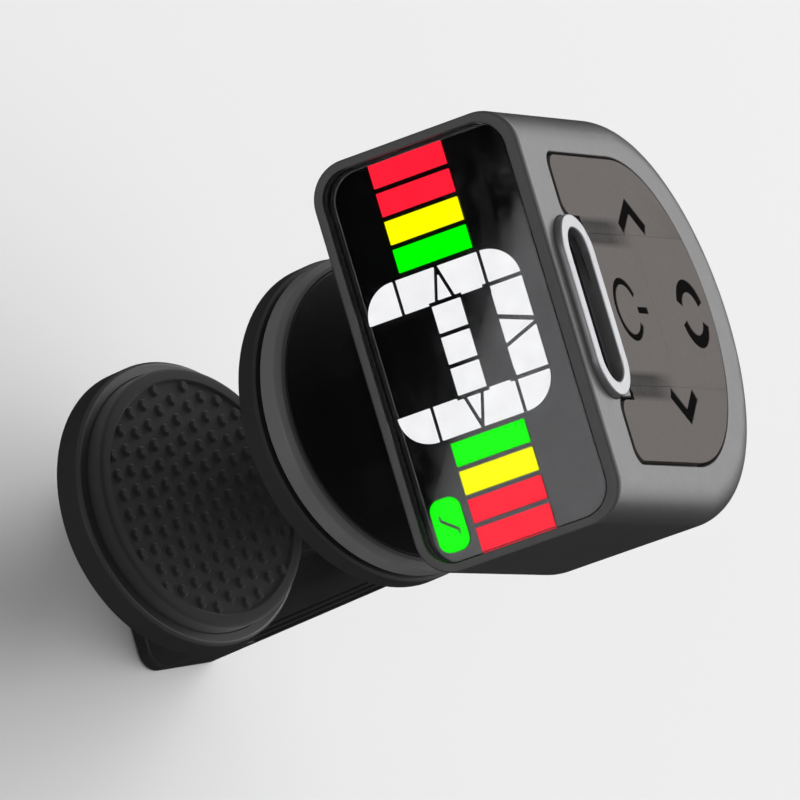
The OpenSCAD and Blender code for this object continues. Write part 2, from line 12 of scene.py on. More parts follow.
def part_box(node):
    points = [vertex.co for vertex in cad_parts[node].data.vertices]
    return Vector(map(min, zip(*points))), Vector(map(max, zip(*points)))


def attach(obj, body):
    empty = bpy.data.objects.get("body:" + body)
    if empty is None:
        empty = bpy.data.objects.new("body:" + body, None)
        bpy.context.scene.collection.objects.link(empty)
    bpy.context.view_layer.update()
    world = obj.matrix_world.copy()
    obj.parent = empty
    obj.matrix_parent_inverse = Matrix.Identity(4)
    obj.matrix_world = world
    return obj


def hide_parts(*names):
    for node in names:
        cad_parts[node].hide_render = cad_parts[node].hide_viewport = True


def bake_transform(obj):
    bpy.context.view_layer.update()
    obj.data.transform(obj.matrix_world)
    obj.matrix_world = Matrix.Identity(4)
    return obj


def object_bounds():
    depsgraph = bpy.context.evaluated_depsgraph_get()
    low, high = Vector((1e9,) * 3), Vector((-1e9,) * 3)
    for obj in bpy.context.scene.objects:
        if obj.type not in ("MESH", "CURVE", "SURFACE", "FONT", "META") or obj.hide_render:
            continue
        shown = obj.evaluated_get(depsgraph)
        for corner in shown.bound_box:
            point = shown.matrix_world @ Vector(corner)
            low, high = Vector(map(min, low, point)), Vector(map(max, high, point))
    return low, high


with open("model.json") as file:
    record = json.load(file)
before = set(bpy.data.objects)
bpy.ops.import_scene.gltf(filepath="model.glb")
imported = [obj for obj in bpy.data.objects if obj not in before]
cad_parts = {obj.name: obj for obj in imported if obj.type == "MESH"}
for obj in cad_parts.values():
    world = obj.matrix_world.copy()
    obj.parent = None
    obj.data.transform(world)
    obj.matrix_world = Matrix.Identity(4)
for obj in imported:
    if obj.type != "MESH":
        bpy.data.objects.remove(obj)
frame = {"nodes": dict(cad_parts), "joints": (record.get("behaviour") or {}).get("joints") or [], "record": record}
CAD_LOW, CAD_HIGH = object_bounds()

bl_info = {
    "name": "Clip-on tuner",
    "version": (1, 0, 0),
    "blender": (4, 5, 0),
    "location": "View3D > Sidebar > Tuner",
    "description": "Casing, display, keypad, swivel and clamp of a clip-on tuner",
    "category": "Object",
}

MM = 0.001
MERGE_GAP = 0.0002 * MM
FLAT_ANGLE = math.radians(0.6)
PAD_SEAT = 0.5 * MM
JAW_DISC = 2.4 * MM
ARROW_OFF_SEAM, ARROW_BEHIND, RING_BEHIND, POWER_AHEAD = 0.35 * MM, 0.4 * MM, 6.1 * MM, 4.3 * MM
NODES = frame["nodes"]
SLOTS = {part["node"]: part["material_slot"] for part in frame["record"]["subparts"]}
BODIES = {node: body for body, nodes in frame["record"]["behaviour"]["bodies"].items() for node in nodes}


# ---------- the head's own directions ----------

def head_frame():
    """Matrix from the head's own frame to the whole: x right, y from the display back, z up its lean."""
    press = next(joint for joint in frame["joints"] if joint["name"] == "key_mode_press")
    up = -Vector(press["axis"]).normalized()
    right = Vector((1, 0, 0))
    turn = Matrix((right, up.cross(right), up)).transposed()
    corners = [turn.transposed() @ vertex.co for vertex in NODES["head_shell"].data.vertices]
    low = Vector((0, min(c.y for c in corners), min(c.z for c in corners)))
    return turn.to_4x4() @ Matrix.Translation(low)


HEAD = head_frame()
TO_HEAD = HEAD.inverted()


def head_box(node):
    """Lowest and highest corner of a node in the head's own frame."""
    corners = [TO_HEAD @ vertex.co for vertex in NODES[node].data.vertices]
    low = Vector([min(c[axis] for c in corners) for axis in range(3)])
    high = Vector([max(c[axis] for c in corners) for axis in range(3)])
    return low, high


# ---------- sizes and colours that a user would change ----------

def length(name, description, millimetres, low=0.0, high=100.0):
    return FloatProperty(name=name, description=description, default=millimetres * MM, min=low * MM,
                         max=high * MM, precision=5, unit="LENGTH", subtype="DISTANCE")


def radiance(name, description, default):
    return FloatProperty(name=name, description=description, default=default, min=0)


def angle(name, description, degrees):
    return FloatProperty(name=name, description=description, default=math.radians(degrees), subtype="ANGLE")


def colour(name, description, red, green, blue):
    return FloatVectorProperty(name=name, description=description, default=(red, green, blue),
                               subtype="COLOR", min=0, max=1)


class TunerEdges(bpy.types.PropertyGroup):
    casing: length("Casing edges", "Rounding of the head casing's crisp edges", 0.3, 0.02, 0.5)
    keys: length("Key edges", "Rounding of the rubber keys", 0.1, 0.02, 0.3)
    metal: length("Port edges", "Rounding of the charging port's metal", 0.14, 0.01, 0.25)
    clamp: length("Clamp edges", "Rounding of the clamp's and the disc's edges", 0.22, 0.02, 0.5)
    fine: length("Fine edges", "Rounding of screws, pins and other small pieces", 0.05, 0.01, 0.1)


class TunerMarks(bpy.types.PropertyGroup):
    depth: length("Mark depth", "Depth of the marks sunk into the keys", 0.14, 0.05, 0.4)
    fill: length("Fill depth", "Depth of the black fill's face below the key", 0.06, 0.0, 0.2)
    stroke: length("Stroke", "Width of the black marks' strokes", 0.8, 0.2, 1.2)
    arrow_depth: length("Arrow depth", "Distance between an arrow's tip and its ends", 1.45, 1, 4)
    arrow_span: length("Arrow span", "Distance between an arrow's two ends", 3.9, 2, 6)
    ring: length("Ring radius", "Middle radius of the two round marks", 1.75, 1, 3)
    groove: length("Groove width", "Width of the grooves behind the charging port's ends", 1.3, 0.4, 2)
    groove_depth: length("Groove depth", "Depth of those grooves", 0.16, 0.05, 0.4)
    groove_length: length("Groove length", "Length of those grooves", 9.0, 2, 12)
    seam: length("Seam", "Gap that shows between neighbouring keys", 0.012, 0.005, 0.1)


class TunerPads(bpy.types.PropertyGroup):
    stud: length("Stud radius", "Radius of one grip stud", 0.42, 0.2, 1)
    pitch: length("Stud pitch", "Distance between grip studs", 1.25, 0.8, 3)
    rise: length("Stud height", "Height of the grip studs", 0.22, 0.05, 0.5)


class TunerGrips(bpy.types.PropertyGroup):
    groove: length("Groove width", "Width of the grip grooves on the post's sides", 0.9, 0.5, 1.2)
    depth: length("Groove depth", "Depth of those grooves", 0.46, 0.45, 1)
    spacing: length("Groove spacing", "Distance between neighbouring grooves", 1.6, 1.3, 1.7)
    rib: length("Rib radius", "Radius of the thumb ribs under the rear jaw", 0.3, 0.1, 0.6)
    rib_pitch: length("Rib pitch", "Distance between neighbouring thumb ribs", 1.1, 0.7, 2)
    rib_length: length("Rib length", "Length of the thumb ribs", 6.0, 2, 8)


class TunerSpring(bpy.types.PropertyGroup):
    turns: IntProperty(name="Turns", description="Number of turns of the jaw spring", default=10, min=4, max=20)
    wire: length("Wire", "Radius of the spring's wire", 0.22, 0.1, 0.4)


class TunerColours(bpy.types.PropertyGroup):
    casing: colour("Casing", "Satin grey of the head's casing", 0.050, 0.049, 0.049)
    # The disc is the same satin plastic as the casing; its grey is painted three times lighter, as painted light on
    # its rim.
    disc: colour("Disc", "Satin grey of the swivel disc", 0.150, 0.149, 0.148)
    clamp: colour("Clamp", "Black of the clamp and the base plate", 0.028, 0.028, 0.029)
    keypad: colour("Keypad", "Warm grey of the rubber keys", 0.088, 0.077, 0.072)
    rubber: colour("Rubber", "Black of the clamp's pads", 0.014, 0.014, 0.015)
    white: colour("White", "Lit letter", 1.0, 1.0, 1.0)
    red: colour("Red", "Lit outer bars", 1.0, 0.014, 0.038)
    yellow: colour("Yellow", "Lit middle bars", 1.0, 1.0, 0.0)
    green: colour("Green", "Lit inner bars and status mark", 0.0, 1.0, 0.0)


class TunerStage(bpy.types.PropertyGroup):
    azimuth: angle("Azimuth", "Camera's turn round the tuner, from the display towards +X", 10.68)
    elevation: angle("Elevation", "Camera's height over the headstock's plane", 42.47)
    roll: angle("Roll", "Camera's roll: the tuner stands out to the right", 66.1)
    distance: FloatProperty(name="Distance", description="Camera's distance from the tuner",
                            default=0.8485, min=0.2, unit="LENGTH", subtype="DISTANCE")
    fill: FloatProperty(name="Fill", description="Share of the frame that the tuner takes", default=0.86,
                        min=0.1, max=1, subtype="FACTOR")
    overhead: radiance("Overhead light", "Radiance of the overhead soft light", 2.5)
    backlight: radiance("Back light", "Radiance of the soft light behind the tuner", 3.1)
    glare: radiance("Glare", "Radiance of the light that the window mirrors", 2.7)
    ambient: radiance("Ambient", "Radiance of the surroundings", 0.27)


class TunerSettings(bpy.types.PropertyGroup):
    edges: PointerProperty(type=TunerEdges)
    marks: PointerProperty(type=TunerMarks)
    pads: PointerProperty(type=TunerPads)
    grips: PointerProperty(type=TunerGrips)
    spring: PointerProperty(type=TunerSpring)
    colours: PointerProperty(type=TunerColours)
    stage: PointerProperty(type=TunerStage)


# ---------- materials ----------

class Value:
    """An output in a finish's node tree. Arithmetic on it adds Math nodes."""

    def __init__(self, finish, socket):
        self.finish = finish
        self.socket = socket

    def math(self, operation, first, second=0.0):
        return self.finish.add("ShaderNodeMath", {"operation": operation}, {0: first, 1: second})

    def __add__(self, other):
        return self.math("ADD", self, other)

    def __radd__(self, other):
        return self.math("ADD", other, self)

    def __sub__(self, other):
        return self.math("SUBTRACT", self, other)

    def __rsub__(self, other):
        return self.math("SUBTRACT", other, self)

    def __mul__(self, other):
        return self.math("MULTIPLY", self, other)

    def __rmul__(self, other):
        return self.math("MULTIPLY", other, self)

    def __abs__(self):
        return self.math("ABSOLUTE", self)


class Finish:
    """A material whose node tree is written as expressions."""

    def __init__(self, name, **constants):
        self.material = bpy.data.materials.new(name)
        self.material.use_nodes = True
        self.tree = self.material.node_tree
        self.shader = self.tree.nodes["Principled BSDF"]
        for socket, value in constants.items():
            self.set(socket.replace("_", " ").title().replace("Ior", "IOR"), value)

    def add(self, kind, settings=None, values=None, output=0):
        """Adds a node: its settings first, then its sockets' values or links."""
        node = self.tree.nodes.new(kind)
        for name, setting in (settings or {}).items():
            if name == "stops":
                self.set_stops(node.color_ramp, setting)
            else:
                setattr(node, name, setting)
        for socket, value in (values or {}).items():
            self.feed(node.inputs[socket], value)
        return Value(self, node.outputs[output])

    def set_stops(self, ramp, stops):
        while len(ramp.elements) < len(stops):
            ramp.elements.new(0.5)
        for element, (place, level) in zip(ramp.elements, stops):
            element.position = place
            element.color = (*level, 1) if isinstance(level, tuple) else (level, level, level, 1)

    def feed(self, socket, value):
        if isinstance(value, Value):
            self.tree.links.new(value.socket, socket)
        else:
            socket.default_value = value

    def set(self, socket, value):
        """Sets an input of the shader to a number or an expression."""
        self.feed(self.shader.inputs[socket], value)

    def point(self, scale=(1, 1, 1), turn=(0, 0, 0), shift=(0, 0, 0)):
        """The place on the piece in metres, stretched and turned."""
        place = self.add("ShaderNodeTexCoord", output="Object")
        return self.add("ShaderNodeMapping", {"vector_type": "POINT"},
                        {"Vector": place, "Scale": scale, "Rotation": turn, "Location": shift})

    def noise(self, size, detail=2.0, rough=0.5, at=None):
        """Noise whose blotches are about size metres across."""
        return self.add("ShaderNodeTexNoise", {"noise_dimensions": "3D"},
                        {"Vector": at or self.point(), "Scale": 1 / size, "Detail": detail, "Roughness": rough})

    def mix(self, share, first, second):
        """Colour between two colours."""
        pair = {6: first if isinstance(first, Value) else (*first[:3], 1.0),
                7: second if isinstance(second, Value) else (*second[:3], 1.0), 0: share}
        return self.add("ShaderNodeMix", {"data_type": "RGBA"}, pair, output=2)

    def ramp(self, value, *stops):
        return self.add("ShaderNodeValToRGB", {"stops": stops}, {0: value})

    def coated(self, tint, roughness, height=None, depth=0.0):
        """The material with its colour, its roughness and a surface raised by up to depth metres."""
        self.set("Base Color", tint)
        self.set("Roughness", roughness)
        if height is not None:
            bumped = self.add("ShaderNodeBump", None, {"Height": height, "Distance": depth, "Strength": 1.0})
            self.set("Normal", bumped)
        return self.material


def shade(colour_value, factor):
    """A colour made darker or lighter."""
    return tuple(min(1.0, part * factor) for part in colour_value[:3])


def moulded_plastic(name, base, roughness, grain=0.00016, depth=0.0000035, sheen=0.08):
    """Satin moulded plastic: fine sparked grain, faint cloudiness and a little handling polish."""
    finish = Finish(name, specular_ior_level=0.5)
    cloud = finish.noise(0.004, 3)
    polish = finish.noise(0.0011, 2)
    return finish.coated(finish.mix(cloud, shade(base, 0.84), shade(base, 1.17)),
                         roughness - sheen / 2 + sheen * polish + 0.04 * cloud,
                         finish.noise(grain, 2, 0.6), depth)


def casing_plastic(colours):
    return moulded_plastic("casing_satin_grey", colours.casing, 0.36, 0.00022, 0.000011)


def disc_plastic(colours):
    """Satin plastic with the fine turned lines that a lathe leaves round the disc, its grey painted lighter than the
    casing's same plastic as painted light.
    """
    # Painted light: the base grey is lighter than the casing's, so that the disc's rim shows lighter.
    base = colours.disc
    finish = Finish("disc_satin_grey")
    cloud = finish.noise(0.003, 3)
    lines = finish.noise(0.00012, 2, 0.5, finish.point(scale=(0.02, 0.02, 1)))
    return finish.coated(finish.mix(cloud, shade(base, 0.85), shade(base, 1.2)),
                         0.28 + 0.10 * lines + 0.05 * cloud, lines, 0.000004)


def clamp_plastic(colours):
    return moulded_plastic("clamp_satin_black", colours.clamp, 0.42, 0.0002, 0.000006)


def gloss_black(colours):
    """Smooth black face with hairline scuffs."""
    base = shade(colours.clamp, 0.5)
    finish = Finish("face_smooth_black")
    scuffs = finish.noise(0.0009, 4, 0.7, finish.point(scale=(1, 5, 1), turn=(0, 0, 0.6)))
    mask = finish.ramp(scuffs, (0.58, 0.0), (0.72, 1.0))
    return finish.coated(finish.mix(mask, base, shade(base, 1.8)), 0.30 + 0.14 * mask,
                         finish.noise(0.0006), 0.000002)


def keypad_rubber(colours):
    """Warm grey silicone: matt, faintly mottled, with a fine velvet grain, and painted shade in the grooves."""
    base = colours.keypad
    finish = Finish("keypad_warm_rubber", specular_ior_level=0.1)
    mottle = finish.noise(0.0016, 4, 0.6)
    dust = finish.ramp(finish.noise(0.00035, 2), (0.62, 0.0), (0.75, 1.0))
    plain = finish.mix(mottle, shade(base, 0.86), shade(base, 1.14))
    # Painted shade: the keys' colour turns darker along the grooves behind the port's ends, where the creases' shade
    # falls.
    place = finish.point(turn=TO_HEAD.to_euler(), shift=TO_HEAD.translation)
    across, along = (finish.add("ShaderNodeSeparateXYZ", None, {0: place}, output=axis) for axis in (0, 1))
    millimetres_off = (abs(across) - head_box("key_right")[0].x) * (1 / MM)
    centimetres_along = (along - head_box("key_power")[0].y) * (0.1 / MM)
    painted_groove_shade = (finish.ramp(abs(millimetres_off), (0.60, 1.0), (0.98, 0.0))
                 * finish.ramp(centimetres_along, (0.46, 1.0), (0.80, 0.0)))
    shaded = finish.mix(painted_groove_shade, plain, shade(base, 0.22))
    return finish.coated(finish.mix(0.25 * dust, shaded, shade(base, 1.7)), 0.56 + 0.12 * mottle,
                         finish.noise(0.00014, 3, 0.65), 0.000008)


def grip_rubber(colours):
    base = colours.rubber
    finish = Finish("grip_soft_rubber", specular_ior_level=0.35, sheen_weight=0.15, sheen_roughness=0.6)
    wear = finish.noise(0.0022, 4, 0.6)
    return finish.coated(finish.mix(wear, shade(base, 0.8), shade(base, 1.9)), 0.72 + 0.16 * wear,
                         finish.noise(0.00018, 3, 0.7), 0.00001)


def mark_black():
    finish = Finish("mark_fill_black", specular_ior_level=0.0)
    speckle = finish.noise(0.0002, 2)
    return finish.coated(finish.mix(speckle, (0.003, 0.003, 0.003), (0.008, 0.007, 0.007)),
                         0.55 + 0.12 * speckle, speckle, 0.000004)


def metal(name, base, roughness, streak=(1, 1, 1), tarnish=0.15):
    """Metal with drawn or ground streaks, and faint tarnish."""
    finish = Finish(name, metallic=1.0)
    grind = finish.noise(0.00025, 3, 0.6, finish.point(scale=streak))
    stain = finish.noise(0.0014, 3)
    return finish.coated(finish.mix(tarnish * stain, shade(base, 1.05), shade(base, 0.45)),
                         roughness - 0.05 + 0.12 * grind + 0.06 * stain, grind, 0.0000025)


def smoked_window(_):
    """Clear, faintly smoked window, with the light smears that fingers leave."""
    finish = Finish("window_smoked_clear", transmission_weight=1.0, ior=1.12)
    smear = finish.noise(0.0035, 4, 0.6, finish.point(scale=(1, 1, 2.2), turn=(0, 0.5, 0)))
    return finish.coated(finish.mix(smear, (0.80, 0.80, 0.82), (0.86, 0.86, 0.87)),
                         finish.ramp(smear, (0.45, 0.0), (0.8, 0.05)))


def mask_film(_):
    """Glossy black film, with the faint smears that blur what it mirrors."""
    finish = Finish("display_black_film")
    smear = finish.noise(0.0028, 4, 0.6, finish.point(scale=(1, 1, 2.2), turn=(0, 0.5, 0)))
    return finish.coated(finish.mix(smear, (0.0045, 0.0045, 0.0049), (0.0070, 0.0070, 0.0076)),
                         finish.ramp(smear, (0.35, 0.02), (0.8, 0.07)))


def lit_segment(name, lit, strength=1.0):
    """A lit segment behind a diffuser: almost even, a little dimmer in soft clouds."""
    finish = Finish(name, roughness=0.6, emission_strength=strength, specular_ior_level=0.0)
    cloud = finish.noise(0.0009, 2)
    finish.set("Base Color", finish.mix(cloud, shade(lit, 0.10), shade(lit, 0.13)))
    glow = finish.ramp(cloud, (0.3, shade(lit, 0.93)), (0.7, shade(lit, 1.0)))
    finish.set("Emission Color", glow)
    return finish.material


def solder_mask(_):
    """Green board lacquer over copper tracks, with bare pads."""
    finish = Finish("board_lacquer", specular_ior_level=0.6)
    tracks = finish.add("ShaderNodeTexVoronoi", {"feature": "DISTANCE_TO_EDGE", "distance": "EUCLIDEAN"},
                        {"Vector": finish.point(), "Scale": 700.0, "Randomness": 0.35})
    copper = finish.ramp(tracks, (0.05, 1.0), (0.09, 0.0))
    return finish.coated(finish.mix(copper, (0.010, 0.075, 0.035), (0.035, 0.16, 0.06)), 0.28 + 0.12 * copper,
                         copper, 0.00002)


def foil_pouch(_):
    """Laminated foil with soft creases."""
    finish = Finish("battery_foil", metallic=0.9)
    crease = finish.noise(0.003, 5, 0.7, finish.point(scale=(1, 0.6, 1)))
    return finish.coated(finish.mix(crease, (0.55, 0.56, 0.58), (0.72, 0.73, 0.75)), 0.28 + 0.2 * crease,
                         crease, 0.00008)


FINISHES = {
    "casing_grey": casing_plastic,
    "casing_black": clamp_plastic,
    "disc_grey": disc_plastic,
    "face_black": gloss_black,
    "rubber": grip_rubber,
    "keypad": keypad_rubber,
    "window": smoked_window,
    "mask_black": mask_film,
    "board_green": solder_mask,
    "battery_foil": foil_pouch,
}
PLASTICS = {
    "socket_black": ("socket_black", (0.010, 0.010, 0.010), 0.45),
    "chip_black": ("chip_resin", (0.018, 0.018, 0.019), 0.55, 0.00012, 0.000006),
    "slip_plastic": ("slip_washer", (0.62, 0.62, 0.58), 0.45, 0.0003, 0.000004),
    "ceramic": ("pickup_ceramic", (0.66, 0.64, 0.58), 0.30, 0.0003, 0.000004),
}
METALS = {
    "steel": ("ground_steel", (0.56, 0.57, 0.58), 0.26, (0.2, 1, 1)),
    "spring_steel": ("drawn_steel", (0.50, 0.51, 0.53), 0.30),
    "screw_steel": ("plated_steel", (0.46, 0.47, 0.49), 0.28),
    "screw_black": ("blackened_steel", (0.035, 0.035, 0.037), 0.38),
    "switch_metal": ("stamped_tin", (0.60, 0.60, 0.62), 0.30),
    "bright_metal": ("bright_port_metal", (0.30, 0.30, 0.31), 0.42, (0.12, 1, 1), 0.1),
    "brass": ("sheet_brass", (0.70, 0.47, 0.16), 0.25, (0.3, 1, 1), 0.3),
}
GLOW = {"lit_white": 1.07, "lit_red": 1.25, "lit_yellow": 1.25, "lit_green": 1.25}
MADE = {}


def made_finish(slot):
    """A new material for a slot, from its recipe above."""
    colours = bpy.context.scene.tuner.colours
    if slot in PLASTICS:
        return moulded_plastic(*PLASTICS[slot])
    if slot in METALS:
        return metal(*METALS[slot])
    if slot in GLOW:
        return lit_segment(slot, getattr(colours, slot.removeprefix("lit_")), GLOW[slot])
    return FINISHES[slot](colours)


def finish_of(slot):
    """The material of one of the record's slots, made once."""
    if slot not in MADE:
        MADE[slot] = made_finish(slot)
    return MADE[slot]


def paint(piece, material):
    piece.data.materials.clear()
    piece.data.materials.append(material)


def paint_nodes(*nodes):
    """Gives CAD nodes that stay as they are the finish of their slot."""
    for node in nodes:
        paint(NODES[node], finish_of(SLOTS[node]))


# ---------- mesh work ----------

def new_piece(name, data):
    piece = bpy.data.objects.new(name, data)
    bpy.context.scene.collection.objects.link(piece)
    return piece


def mesh_of(shell, name):
    """The mesh of a finished shell, which is let go."""
    mesh = bpy.data.meshes.new(name)
    shell.to_mesh(mesh)
    shell.free()
    return mesh


def applied(piece):
    """Makes the modified shape of a piece its plain mesh."""
    depsgraph = bpy.context.evaluated_depsgraph_get()
    mesh = bpy.data.meshes.new_from_object(piece.evaluated_get(depsgraph))
    piece.modifiers.clear()
    piece.data = mesh
    return piece


def one_skin(mesh):
    """A mesh as a shell with its doubled corners merged and its flat triangles joined."""
    shell = bmesh.new()
    shell.from_mesh(mesh)
    bmesh.ops.remove_doubles(shell, verts=shell.verts, dist=MERGE_GAP)
    bmesh.ops.dissolve_limit(shell, angle_limit=FLAT_ANGLE, verts=shell.verts, edges=shell.edges,
                             delimit={"NORMAL"})
    return shell


def turns_enough(edge, degrees):
    """Whether an edge between two faces turns by more than an angle."""
    return len(edge.link_faces) == 2 and edge.calc_face_angle(0.0) > math.radians(degrees)


def middle_of(edge):
    return (edge.verts[0].co + edge.verts[1].co) / 2


def round_edges(shell, width, where=None, sharpest=35, segments=3):
    """Rounds the edges that turn by more than an angle, where a test on their middle says so."""
    chosen = [edge for edge in shell.edges
              if turns_enough(edge, sharpest) and (where is None or where(middle_of(edge)))]
    bmesh.ops.bevel(shell, geom=chosen, offset=width, offset_type="OFFSET", affect="EDGES", segments=segments,
                    profile=0.5, clamp_overlap=True, miter_outer="SHARP", miter_inner="SHARP")


def round_by_width(shell, piece, width_at, sharpest=35, segments=4):
    """Rounds a piece's edges, each as wide as a function of its middle says."""
    weight = shell.edges.layers.float.new("bevel_weight_edge")
    widest = 1 * MM
    for edge in shell.edges:
        if turns_enough(edge, sharpest):
            edge[weight] = width_at(middle_of(edge)) / widest
    shell.to_mesh(piece.data)
    bevel = piece.modifiers.new("edges", "BEVEL")
    bevel.limit_method = "WEIGHT"
    bevel.width = widest
    bevel.segments = segments
    bevel.use_clamp_overlap = True
    applied(piece)


def smooth_piece(piece, sharpest=50):
    """Smooth shading that keeps flat faces flat."""
    mesh = piece.data
    for face in mesh.polygons:
        face.use_smooth = True
    mesh.set_sharp_from_angle(angle=math.radians(sharpest))
    weighted = piece.modifiers.new("even shading", "WEIGHTED_NORMAL")
    weighted.keep_sharp = True
    weighted.weight = 80
    return piece


def stands_for(piece, node, sharpest=50):
    """Gives a piece the finish and the body of the node that it replaces."""
    paint(piece, finish_of(SLOTS[node]))
    smooth_piece(piece, sharpest)
    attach(piece, BODIES[node])
    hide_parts(node)


def soft_edged(node, width, where=None, cutters=(), sharpest=35, segments=3, shell=None):
    """A copy of a node with its edges rounded, which stands for the node."""
    shell = shell or one_skin(NODES[node].data)
    piece = new_piece(node + "_skin", bpy.data.meshes.new(node + "_skin"))
    if cutters:
        shell.to_mesh(piece.data)
        carve(piece, cutters)
        shell.free()
        shell = one_skin(piece.data)
    if callable(width):
        round_by_width(shell, piece, width, sharpest)
    else:
        round_edges(shell, width, where, sharpest, segments)
        shell.to_mesh(piece.data)
    shell.free()
    stands_for(piece, node)


def carve(piece, cutters):
    """Cuts the cutters' meshes out of a piece."""
    tools = []
    for number, mesh in enumerate(cutters):
        tool = new_piece(f"cutter_{number}", mesh)
        tools.append(tool)
        cut = piece.modifiers.new("cut", "BOOLEAN")
        cut.operation = "DIFFERENCE"
        cut.solver = "EXACT"
        cut.object = tool
    applied(piece)
    for tool in tools:
        bpy.data.objects.remove(tool)


def prism(outlines, low, high, place=Matrix.Identity(4)):
    """Mesh of upright prisms over closed outlines, set in place by a matrix."""
    shell = bmesh.new()
    for outline in outlines:
        ring = [shell.verts.new((x, y, low)) for x, y in outline]
        face = shell.faces.new(ring)
        grown = bmesh.ops.extrude_face_region(shell, geom=[face])
        top = [item for item in grown["geom"] if isinstance(item, bmesh.types.BMVert)]
        bmesh.ops.translate(shell, verts=top, vec=(0, 0, high - low))
    bmesh.ops.recalc_face_normals(shell, faces=shell.faces)
    shell.transform(place)
    return mesh_of(shell, "prism")


def stroke_outline(points, width):
    """Outline of an open stroke of a given width through points, mitred at its bends."""
    sides = ([], [])
    for number, point in enumerate(points):
        here = Vector(point)
        before = Vector(points[number - 1]) if number else None
        after = Vector(points[number + 1]) if number + 1 < len(points) else None
        heading_in = (here - before).normalized() if before else (after - here).normalized()
        heading_out = (after - here).normalized() if after else heading_in
        across = Vector((-heading_in.y, heading_in.x)) + Vector((-heading_out.y, heading_out.x))
        across.normalize()
        reach = width / 2 / max(0.3, across.dot(Vector((-heading_in.y, heading_in.x))))
        sides[0].append(tuple(here + across * reach))
        sides[1].append(tuple(here - across * reach))
    return sides[0] + sides[1][::-1]


def arc_points(centre, radius, start, end, steps=20):
    turns = [math.radians(start + (end - start) * step / steps) for step in range(steps + 1)]
    return [(centre[0] + radius * math.cos(turn), centre[1] + radius * math.sin(turn)) for turn in turns]


# ---------- geometry node trees ----------

class Shape:
    """A geometry node tree with named number inputs, built node by node."""

    def __init__(self, name, **inputs):
        self.tree = bpy.data.node_groups.new(name, "GeometryNodeTree")
        self.inputs = {}
        for label, value in inputs.items():
            kind = "NodeSocketInt" if isinstance(value, int) else "NodeSocketFloat"
            socket = self.tree.interface.new_socket(label, in_out="INPUT", socket_type=kind)
            socket.default_value = value
            self.inputs[label] = value
        self.tree.interface.new_socket("Geometry", in_out="OUTPUT", socket_type="NodeSocketGeometry")
        self.entry = self.tree.nodes.new("NodeGroupInput")
        self.exit = self.tree.nodes.new("NodeGroupOutput")

    def input(self, label):
        return self.entry.outputs[label]

    def add(self, kind, settings=None, values=None, output=0):
        node = self.tree.nodes.new(kind)
        for name, setting in (settings or {}).items():
            setattr(node, name, setting)
        for socket, value in (values or {}).items():
            if isinstance(value, bpy.types.NodeSocket):
                self.tree.links.new(value, node.inputs[socket])
            else:
                node.inputs[socket].default_value = value
        return node.outputs[output]

    def math(self, operation, first, second):
        return self.add("ShaderNodeMath", {"operation": operation}, {0: first, 1: second})

    def row(self, item, axis):
        """The item repeated along an axis, Count times and a Pitch apart."""
        step = self.add("ShaderNodeCombineXYZ", None, {axis: self.input("Pitch")})
        line = self.add("GeometryNodeMeshLine", {"mode": "OFFSET"}, {"Count": self.input("Count"), "Offset": step})
        return self.add("GeometryNodeInstanceOnPoints", None, {"Points": line, "Instance": item})

    def finish(self, geometry, material):
        real = self.add("GeometryNodeRealizeInstances", None, {0: geometry})
        painted = self.add("GeometryNodeSetMaterial", None, {"Geometry": real, "Material": material})
        self.tree.links.new(painted, self.exit.inputs[0])
        return self

    def piece(self, name, **values):
        """A plain mesh piece of the tree at its inputs' values."""
        piece = new_piece(name, bpy.data.meshes.new(name))
        modifier = piece.modifiers.new("shape", "NODES")
        modifier.node_group = self.tree
        for item in self.tree.interface.items_tree:
            if item.in_out == "INPUT" and item.name in self.inputs:
                modifier[item.identifier] = values.get(item.name, self.inputs[item.name])
        applied(piece)
        return piece


def coil_tree(material):
    """A round wire wound into a coil that rises along Z from the origin."""
    shape = Shape("coil", Turns=10, Radius=0.0015, Height=0.01, Wire=0.0002)
    spiral = shape.add("GeometryNodeCurveSpiral", None, {
        "Resolution": 40, "Rotations": shape.input("Turns"), "Start Radius": shape.input("Radius"),
        "End Radius": shape.input("Radius"), "Height": shape.input("Height"), "Reverse": False})
    wire = shape.add("GeometryNodeCurvePrimitiveCircle", None, {"Resolution": 14, "Radius": shape.input("Wire")})
    tube = shape.add("GeometryNodeCurveToMesh", None,
                     {"Curve": spiral, "Profile Curve": wire, "Fill Caps": True})
    return shape.finish(tube, material)


